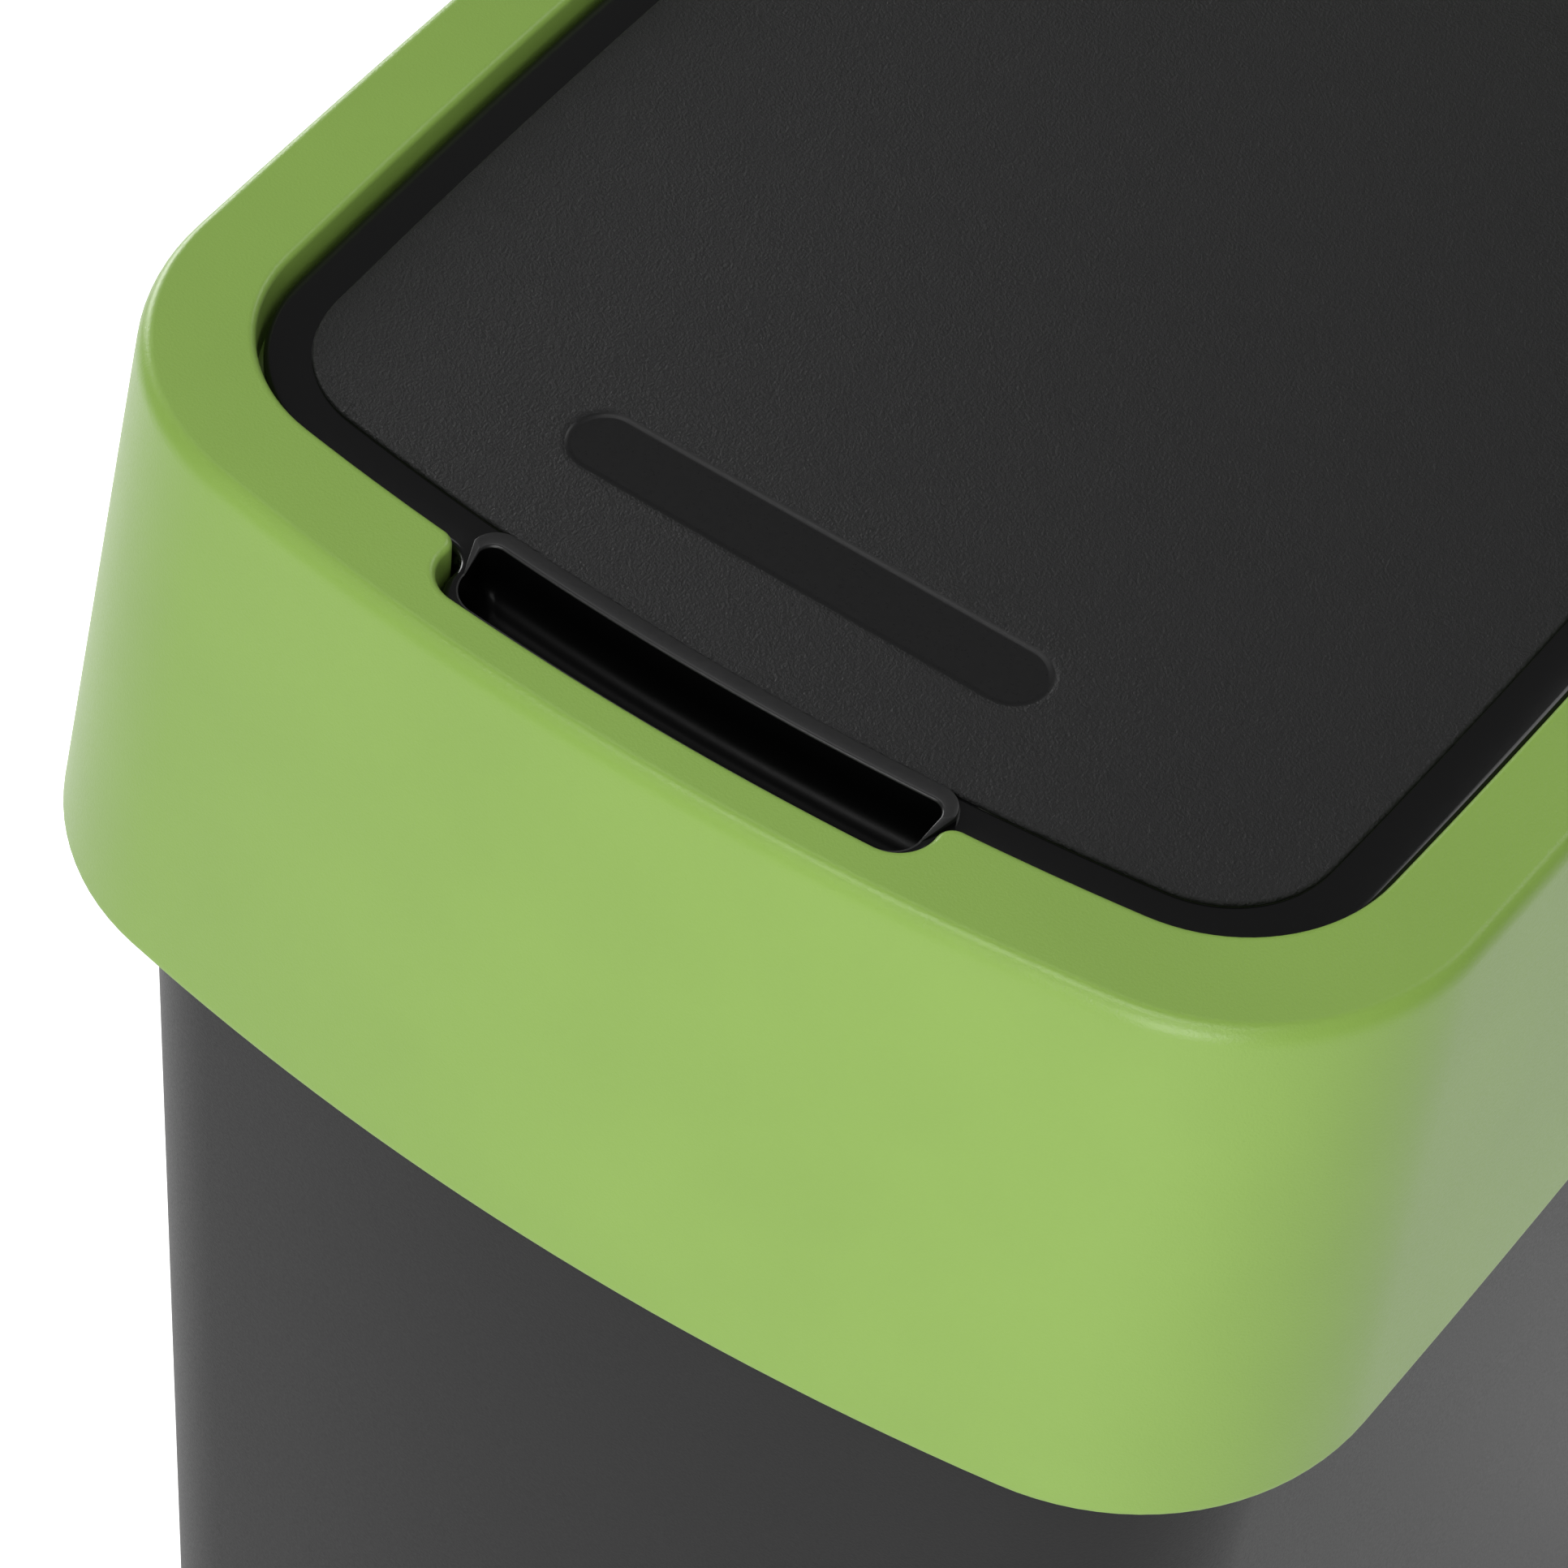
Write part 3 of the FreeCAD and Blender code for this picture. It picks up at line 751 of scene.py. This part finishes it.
def inside_band(band, inset):
    """A band inside another one by a distance, with corners that never get sharp."""
    *reaches, front_radius, rear_radius = band
    corners = [max(radius - inset, least_corner) for radius in (front_radius, rear_radius)]
    return (*[reach - inset for reach in reaches], *corners)


def band_turns(band):
    """Start and turns of a band along the opening's front arc."""
    front, rear, front_half, rear_half, front_radius, rear_radius = band
    outer = opening_arc + front - front_radius
    inner = opening_arc - rear + rear_radius
    at_front = math.asin((front_half - front_radius) / outer)
    at_rear = math.asin((rear_half - rear_radius) / inner)
    front_corner = front_centre + outer * Vector((math.sin(at_front), -math.cos(at_front)))
    rear_corner = front_centre + inner * Vector((math.sin(at_rear), -math.cos(at_rear)))
    side = rear_corner - front_corner + Vector((rear_radius - front_radius, 0))
    start = front_centre + (outer + front_radius) * Vector((-math.sin(at_front), -math.cos(at_front)))
    quarter = math.pi / 2
    turns = [
        (front_centre, 2 * at_front, band_steps),
        (front_corner, quarter - at_front, band_corner_steps),
        (side, 0, 0),
        (rear_corner, quarter + at_rear, band_corner_steps),
        (front_centre, -2 * at_rear, band_steps),
        (rear_corner * mirror, quarter + at_rear, band_corner_steps),
        (side * Vector((1, -1)), 0, 0),
        (front_corner * mirror, quarter - at_front, band_corner_steps),
    ]
    return start, turns


def pad_loop(inset, z):
    """Draw the pad's round-ended outline, inside its edge by a distance."""
    reach = pad_half_length - pad_half_width
    half_width = pad_half_width - inset
    turns = []
    for sign in (1, -1):
        turns.append((Vector((sign * 2 * reach, 0)), 0, 0))
        turns.append((pad_middle + Vector((sign * reach, 0)), math.pi, pad_end_steps))
    return draw_loop(pad_middle + Vector((-reach, -half_width)), turns, z)


def raise_loop(number, height):
    """Lift a loop of the bead: fully behind the scoop, and not at all in front of it."""
    mesh = bmesh.from_edit_mesh(bpy.context.object.data)
    tag = mesh.verts.layers.int["loop"]
    for vert in mesh.verts:
        if vert[tag] == number:
            past = (vert.co.xy - front_centre).length - opening_arc
            share = min(max((past - bead_fade_start) / bead_fade_length, 0), 1)
            vert.co.z += height * (1 - eased(share))
    bmesh.update_edit_mesh(bpy.context.object.data)


lid = new_mesh("lid_plate")
number_points()
edge_loops = [
    draw_loop(*mouth_turns(-lid_gap - lid_bevel), lid_bottom),
    draw_loop(*mouth_turns(-lid_gap), lid_bottom + lid_bevel),
    draw_loop(*mouth_turns(-lid_gap), lid_top - lid_roll - lid_roll_support),
]
for angle in quarter_angles():
    by = -lid_gap - lid_roll * (1 - math.cos(angle))
    edge_loops.append(draw_loop(*mouth_turns(by), lid_top - lid_roll * (1 - math.sin(angle))))
bridge(*edge_loops)

panel = list(grown(opening, -panel_inset))
panel[1] = opening_front + panel_front
panel_sections = [(0, 0), (-panel_foot_inset, panel_foot_rise)]
for angle in quarter_angles():
    by = -panel_wall_inset - panel_edge * (1 - math.cos(angle))
    panel_sections.append((by, panel_rise - panel_edge * (1 - math.sin(angle))))
panel_sections.append((-panel_wall_inset - panel_edge - flat_support, panel_rise))
panel_loops = []
for by, rise in panel_sections:
    panel_loops.append(draw_loop(*outline_turns(grown(panel, by)), lid_top + rise))
bridge(*panel_loops)

panel_top = lid_top + panel_rise
pad_loops = [pad_loop(-flat_support, panel_top)]
for step in range(pad_steps + 1):
    share = step / pad_steps
    pad_loops.append(pad_loop(pad_slope * share, panel_top - pad_depth * eased(share)))
pad_loops.append(pad_loop(pad_slope + flat_support, panel_top - pad_depth))
bridge(*pad_loops)
fill(panel_loops[-1], pad_loops[0])
fill(pad_loops[-1])

bead_profile = []
for angle in quarter_angles():
    bead_profile.append((1 - bead_rear_share * (1 - math.cos(angle)), math.sin(angle)))
for angle in quarter_angles():
    rise = bead_front_rise_share - bead_front_drop_share * (1 - math.cos(angle))
    bead_profile.append((bead_front_share * (1 - math.sin(angle)), rise))
bead_loops = []
for share, rise in bead_profile:
    bead_loops.append(draw_loop(*band_turns(between(scoop_band, bead_band, share)), lid_top))
    raise_loop(bead_loops[-1], bead_rise * rise)
scoop_floor = lid_top - scoop_depth
scoop_loops = [bead_loops[-1], draw_loop(*band_turns(scoop_band), lid_top - scoop_brow)]
for angle in quarter_angles():
    turns = band_turns(inside_band(scoop_band, scoop_radius * (1 - math.cos(angle))))
    scoop_loops.append(draw_loop(*turns, scoop_floor + scoop_radius * (1 - math.sin(angle))))
bridge(*bead_loops)
bridge(*scoop_loops)
fill(scoop_loops[-1])
fill(edge_loops[-1], panel_loops[0], bead_loops[0])

under_floor = scoop_floor - scoop_wall
under_loops = [draw_loop(*band_turns(inside_band(scoop_band, -scoop_wall)), lid_bottom)]
for angle in quarter_angles():
    turns = band_turns(inside_band(scoop_band, scoop_radius * (1 - math.cos(angle)) - scoop_wall))
    under_loops.append(draw_loop(*turns, under_floor + scoop_radius * (1 - math.sin(angle))))
bridge(*under_loops)
fill(under_loops[-1])
inside = list(grown(opening, -lid_gap - lid_skirt_wall))
inside[1] = opening_front + under_front
inside_loops = [draw_loop(*outline_turns(inside), z) for z in (lid_bottom, lid_ceiling)]
bridge(*inside_loops)
fill(edge_loops[0], inside_loops[0], under_loops[0])
fill(inside_loops[1])

# The loops of each finish, in the order of the material slots after the glossy border's.
# Where a face could have two finishes, it takes the one that comes first in finish_order.
panel_grain_start = 2
pad_satin_start = 6
bead_satin_start = 3
finish_loops = {
    "black_grain": set(panel_loops[panel_grain_start:] + pad_loops),
    "black_satin": set(pad_loops[pad_satin_start:]),
    "black_scoop_painted_shade": set(scoop_loops),
    "black_bead": set(bead_loops[bead_satin_start:]),
}
finish_order = ("black_satin", "black_grain", "black_scoop_painted_shade", "black_bead")
finish_slots = {finish: slot for slot, finish in enumerate(finish_loops, start=1)}
mesh = bmesh.from_edit_mesh(lid.data)
tag = mesh.verts.layers.int["loop"]
for face in mesh.faces:
    tags = {vert[tag] for vert in face.verts}
    for finish in finish_order:
        if tags <= finish_loops[finish]:
            face.material_index = finish_slots[finish]
            break

rib_width = 1.8
rib_height = 4.0
rib_bottom = lid_ceiling - 3.6
rib_ceiling = rib_bottom + rib_height
rib_front = opening_front + 62
rib_back = hinge_y - 6.5
rib_end_gap = 2.2
lid_rib_places = (-44, 0, 44)
for x in lid_rib_places:
    draw_block((x - rib_width / 2, rib_front, rib_bottom), (x + rib_width / 2, rib_back, rib_ceiling))
for y in (rib_front, (rib_front + rib_back) / 2, rib_back):
    reach = side_x(opening, y) - rib_end_gap
    draw_block((-reach, y - rib_width / 2, rib_bottom), (reach, y + rib_width / 2, rib_ceiling))

ear_radius = 6.5
ear_thickness = 4.0
ear_gap = 0.2
ear_root = 1.0
ear_clearance = 0.08
arch_gap = 0.3
arch_reach = 12
ear_x = hinge_x - lid_gap - ear_thickness / 2 - ear_gap
arch_top = hinge_z + pin_radius + arch_gap
mesh = bmesh.from_edit_mesh(lid.data)
for vert in mesh.verts:
    over_pin = abs(vert.co.x) > hinge_x - arch_reach and abs(vert.co.y - hinge_y) < ear_radius
    if over_pin and vert.co.z < arch_top:
        vert.co.z = arch_top
bmesh.update_edit_mesh(lid.data)
for sign in (1, -1):
    draw_eye(sign * ear_x, ear_thickness, pin_radius + ear_clearance, ear_radius)
    draw_block(
        (sign * ear_x - ear_thickness / 2, hinge_y - ear_radius, arch_top),
        (sign * ear_x + ear_thickness / 2, hinge_y + ear_radius, lid_ceiling + ear_root),
    )
finish_mesh(sharp_angle=40)
border_black = (0.004, 0.004, 0.0042)
panel_black = (0.0085, 0.0085, 0.0088)
pad_black = (0.005, 0.005, 0.0052)
# The scoop is the same glossy black moulding as the border; its darker colour is painted shade in the
# finger recess.
scoop_shade_black = (0.002, 0.002, 0.0021)
for finish, colour, roughness, grain_size, grain_depth, sheen in (
    ("black_gloss", border_black, 0.14, 0.6, 0.002, 0.42),
    ("black_grain", panel_black, 0.44, 0.5, 0.4, 0.32),
    ("black_satin", pad_black, 0.3, 0.5, 0.004, 0.4),
    ("black_scoop_painted_shade", scoop_shade_black, 0.32, 0.6, 0.002, 0.09),
    ("black_bead", panel_black, 0.34, 0.5, 0.01, 0.6),
):
    lid.data.materials.append(moulded_plastic(finish, colour, roughness, grain_size, grain_depth, sheen))
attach(lid, "lid")
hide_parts("lid")


# The hinge pins: two headed pins moulded in natural nylon, one at each side of the lid.
# They are pushed out through the lid's ears into the collar's cheeks.
# Their shape is that of the CAD model, and only the material is set here.
nylon = (0.30, 0.29, 0.26)
pin_nylon = moulded_plastic("pin_nylon", nylon, roughness=0.38, grain_size=0.4, grain_depth=0.006)
for pin_name in ("hinge_pin_left", "hinge_pin_right"):
    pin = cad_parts[pin_name]
    pin.data.materials.clear()
    pin.data.materials.append(pin_nylon)


# The studio: a plain white floor under soft light, seen by a camera above the front right corner.
# Floor and air look white to the camera, and soft boxes light the bin at a plain level.
# Places here are in metres.
floor_size = 8.0
floor_white = (0.85, 0.85, 0.85, 1)
camera_glow = 0.8
mirror_glow = 0.4
air_light = 0.16
bpy.ops.object.select_all(action="DESELECT")
bpy.ops.mesh.primitive_plane_add(size=floor_size)
floor = bpy.context.object
floor.name = "floor"
white = bpy.data.materials.new("white_floor")
white.use_nodes = True
nodes = white.node_tree.nodes
links = white.node_tree.links
paint = nodes["Principled BSDF"]
paint.inputs["Base Color"].default_value = floor_white
paint.inputs["Roughness"].default_value = 0.8
glow = nodes.new("ShaderNodeEmission")
ray = nodes.new("ShaderNodeLightPath")
level = nodes.new("ShaderNodeMath")
level.operation = "MULTIPLY_ADD"
level.inputs[1].default_value = camera_glow
mirrored = nodes.new("ShaderNodeMath")
mirrored.operation = "MULTIPLY"
mirrored.inputs[1].default_value = mirror_glow
both = nodes.new("ShaderNodeAddShader")
links.new(ray.outputs["Is Glossy Ray"], mirrored.inputs[0])
links.new(ray.outputs["Is Camera Ray"], level.inputs[0])
links.new(mirrored.outputs["Value"], level.inputs[2])
links.new(level.outputs["Value"], glow.inputs["Strength"])
links.new(paint.outputs["BSDF"], both.inputs[0])
links.new(glow.outputs["Emission"], both.inputs[1])
links.new(both.outputs["Shader"], nodes["Material Output"].inputs["Surface"])
floor.data.materials.append(white)

world = bpy.data.worlds.new("studio")
bpy.context.scene.world = world
world.use_nodes = True
nodes = world.node_tree.nodes
links = world.node_tree.links
ray = nodes.new("ShaderNodeLightPath")
level = nodes.new("ShaderNodeMapRange")
level.inputs["To Min"].default_value = air_light
links.new(ray.outputs["Is Camera Ray"], level.inputs["Value"])
links.new(level.outputs["Result"], nodes["Background"].inputs["Strength"])
nodes["Background"].inputs["Color"].default_value = (1, 1, 1, 1)

lid_middle = Vector((0, 0, bin_top / metre))
for name, place, width, height, power in (
    ("front_light", (0.7, -1.7, 0.8), 0.9, 0.9, 15.3),
    ("edge_light", (-0.6, -1.55, 0.95), 1.2, 0.25, 1.5),
    ("left_light", (-1.5, 0.5, 0.7), 0.8, 0.8, 14),
    ("high_light", (0.1, -0.95, 1.6), 1.4, 0.3, 8),
    ("back_light", (0.4, 1.4, 1.7), 0.9, 0.9, 7),
    ("top_light", (-0.5, 0.3, 1.85), 0.5, 0.5, 1.5),
):
    bpy.ops.object.light_add(type="AREA", location=place)
    soft_box = bpy.context.object
    soft_box.name = name
    soft_box.data.shape = "RECTANGLE"
    soft_box.data.size = width
    soft_box.data.size_y = height
    soft_box.data.energy = power
    soft_box.rotation_euler = (lid_middle - Vector(place)).to_track_quat("-Z", "Y").to_euler()

photo_size = 1932
focal_pixels = 7000
sensor = 36.0
view_turn = math.radians(30.409)
view_rise = math.radians(49.310)
view_roll = math.radians(6.368)
view_distance = 918.22 / metre
view_target = Vector((0.297, -103.19, 419.09)) / metre
level_reach = math.cos(view_rise)
back = Vector((math.sin(view_turn) * level_reach, -math.cos(view_turn) * level_reach, math.sin(view_rise)))
across = Vector((math.cos(view_turn), math.sin(view_turn), 0))
upward = back.cross(across)
right = across * math.cos(view_roll) + upward * math.sin(view_roll)
up = upward * math.cos(view_roll) - across * math.sin(view_roll)
bpy.ops.object.camera_add()
camera = bpy.context.object
camera.name = "photo_camera"
camera.data.sensor_width = sensor
camera.data.lens = sensor * focal_pixels / photo_size
facing = Matrix((right, up, back)).transposed().to_4x4()
camera.matrix_world = Matrix.Translation(view_target + back * view_distance) @ facing
scene = bpy.context.scene
scene.camera = camera
scene.view_settings.view_transform = "Standard"
